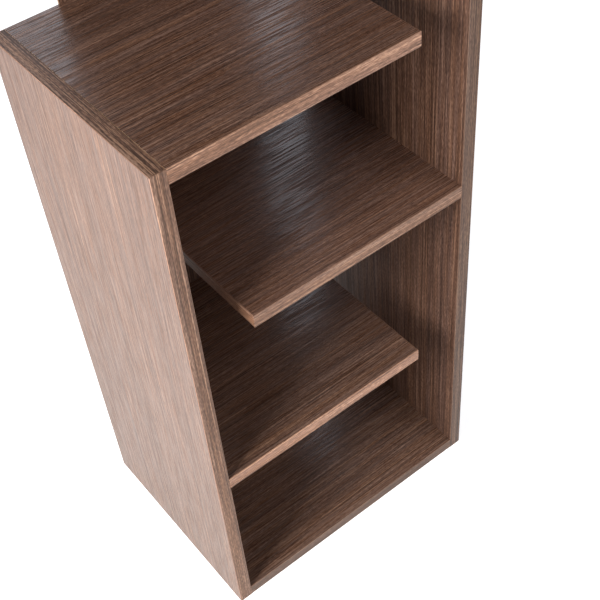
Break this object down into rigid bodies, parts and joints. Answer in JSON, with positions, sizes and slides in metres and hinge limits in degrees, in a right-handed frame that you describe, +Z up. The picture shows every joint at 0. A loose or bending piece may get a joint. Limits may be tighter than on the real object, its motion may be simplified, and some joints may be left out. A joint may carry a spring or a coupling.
{
  "type": "desk hutch",
  "caption": "Narrow stepped shelf tower of walnut-grained board: low left side, tall right side, narrow back panel, and shelves that stop short of each side in turn.",
  "frame": {"origin": "on the floor, under the middle of the tower", "axes": "+Z up, the front edges of the boards face -Y, +X to the right seen from the front"},
  "size_m": [0.4, 0.3, 0.986],
  "materials": {
    "walnut_board": "satin walnut-grained melamine facing",
    "walnut_edge_band": "satin walnut-grained edge band, lighter where it catches the light",
    "printed_hardboard": "thin hardboard, walnut-grained print on the front, plain brown behind",
    "cam_zinc": "die-cast zinc, slightly matt",
    "bolt_steel": "yellowish zinc-plated steel",
    "beech_dowel": "raw beech"
  },
  "bodies": {
    "frame": {"left_side_panel": "walnut_board", "right_side_panel": "walnut_board", "bottom_board": "walnut_board", "lower_shelf": "walnut_board", "middle_shelf": "walnut_board", "upper_shelf": "walnut_board", "top_shelf": "walnut_board", "left_side_front_band": "walnut_edge_band", "left_side_rear_band": "walnut_edge_band", "left_side_top_band": "walnut_edge_band", "right_side_front_band": "walnut_edge_band", "right_side_rear_band": "walnut_edge_band", "right_side_top_band": "walnut_edge_band", "bottom_board_front_band": "walnut_edge_band", "lower_shelf_front_band": "walnut_edge_band", "lower_shelf_end_band": "walnut_edge_band", "middle_shelf_front_band": "walnut_edge_band", "middle_shelf_end_band": "walnut_edge_band", "upper_shelf_front_band": "walnut_edge_band", "upper_shelf_end_band": "walnut_edge_band", "top_shelf_front_band": "walnut_edge_band", "top_shelf_end_band": "walnut_edge_band", "back_panel": "printed_hardboard", "bottom_left_front_bolt": "bolt_steel", "bottom_left_rear_bolt": "bolt_steel", "bottom_right_front_bolt": "bolt_steel", "bottom_right_rear_bolt": "bolt_steel", "lower_shelf_front_bolt": "bolt_steel", "lower_shelf_rear_bolt": "bolt_steel", "middle_shelf_front_bolt": "bolt_steel", "middle_shelf_rear_bolt": "bolt_steel", "upper_shelf_front_bolt": "bolt_steel", "upper_shelf_rear_bolt": "bolt_steel", "top_shelf_front_bolt": "bolt_steel", "top_shelf_rear_bolt": "bolt_steel", "bottom_left_dowel": "beech_dowel", "bottom_right_dowel": "beech_dowel", "lower_shelf_dowel": "beech_dowel", "middle_shelf_dowel": "beech_dowel", "upper_shelf_dowel": "beech_dowel", "top_shelf_dowel": "beech_dowel", "bottom_board_left_screw": "bolt_steel", "bottom_board_right_screw": "bolt_steel", "lower_shelf_screw": "bolt_steel", "middle_shelf_screw": "bolt_steel", "upper_shelf_screw": "bolt_steel", "top_shelf_left_screw": "bolt_steel", "top_shelf_right_screw": "bolt_steel"},
    "bottom_left_front_cam_body": {"bottom_left_front_cam": "cam_zinc"},
    "bottom_left_rear_cam_body": {"bottom_left_rear_cam": "cam_zinc"},
    "bottom_right_front_cam_body": {"bottom_right_front_cam": "cam_zinc"},
    "bottom_right_rear_cam_body": {"bottom_right_rear_cam": "cam_zinc"},
    "lower_shelf_front_cam_body": {"lower_shelf_front_cam": "cam_zinc"},
    "lower_shelf_rear_cam_body": {"lower_shelf_rear_cam": "cam_zinc"},
    "middle_shelf_front_cam_body": {"middle_shelf_front_cam": "cam_zinc"},
    "middle_shelf_rear_cam_body": {"middle_shelf_rear_cam": "cam_zinc"},
    "upper_shelf_front_cam_body": {"upper_shelf_front_cam": "cam_zinc"},
    "upper_shelf_rear_cam_body": {"upper_shelf_rear_cam": "cam_zinc"},
    "top_shelf_front_cam_body": {"top_shelf_front_cam": "cam_zinc"},
    "top_shelf_rear_cam_body": {"top_shelf_rear_cam": "cam_zinc"}
  },
  "joints": [
    {"name": "bottom_left_front_cam_turn", "type": "hinge", "parent": "frame", "child": "bottom_left_front_cam_body", "pos_m": [-0.158, -0.0975, 0.009], "axis": [0, 0, -1], "range_deg": [0, 180]},
    {"name": "bottom_left_rear_cam_turn", "type": "hinge", "parent": "frame", "child": "bottom_left_rear_cam_body", "pos_m": [-0.158, 0.0945, 0.009], "axis": [0, 0, -1], "range_deg": [0, 180]},
    {"name": "bottom_right_front_cam_turn", "type": "hinge", "parent": "frame", "child": "bottom_right_front_cam_body", "pos_m": [0.158, -0.0975, 0.009], "axis": [0, 0, -1], "range_deg": [0, 180]},
    {"name": "bottom_right_rear_cam_turn", "type": "hinge", "parent": "frame", "child": "bottom_right_rear_cam_body", "pos_m": [0.158, 0.0945, 0.009], "axis": [0, 0, -1], "range_deg": [0, 180]},
    {"name": "lower_shelf_front_cam_turn", "type": "hinge", "parent": "frame", "child": "lower_shelf_front_cam_body", "pos_m": [-0.158, -0.0975, 0.262], "axis": [0, 0, -1], "range_deg": [0, 180]},
    {"name": "lower_shelf_rear_cam_turn", "type": "hinge", "parent": "frame", "child": "lower_shelf_rear_cam_body", "pos_m": [-0.158, 0.0945, 0.262], "axis": [0, 0, -1], "range_deg": [0, 180]},
    {"name": "middle_shelf_front_cam_turn", "type": "hinge", "parent": "frame", "child": "middle_shelf_front_cam_body", "pos_m": [0.158, -0.0975, 0.5], "axis": [0, 0, -1], "range_deg": [0, 180]},
    {"name": "middle_shelf_rear_cam_turn", "type": "hinge", "parent": "frame", "child": "middle_shelf_rear_cam_body", "pos_m": [0.158, 0.0945, 0.5], "axis": [0, 0, -1], "range_deg": [0, 180]},
    {"name": "upper_shelf_front_cam_turn", "type": "hinge", "parent": "frame", "child": "upper_shelf_front_cam_body", "pos_m": [-0.158, -0.0975, 0.739], "axis": [0, 0, -1], "range_deg": [0, 180]},
    {"name": "upper_shelf_rear_cam_turn", "type": "hinge", "parent": "frame", "child": "upper_shelf_rear_cam_body", "pos_m": [-0.158, 0.0945, 0.739], "axis": [0, 0, -1], "range_deg": [0, 180]},
    {"name": "top_shelf_front_cam_turn", "type": "hinge", "parent": "frame", "child": "top_shelf_front_cam_body", "pos_m": [0.158, -0.0975, 0.977], "axis": [0, 0, -1], "range_deg": [0, 180]},
    {"name": "top_shelf_rear_cam_turn", "type": "hinge", "parent": "frame", "child": "top_shelf_rear_cam_body", "pos_m": [0.158, 0.0945, 0.977], "axis": [0, 0, -1], "range_deg": [0, 180]}
  ]
}
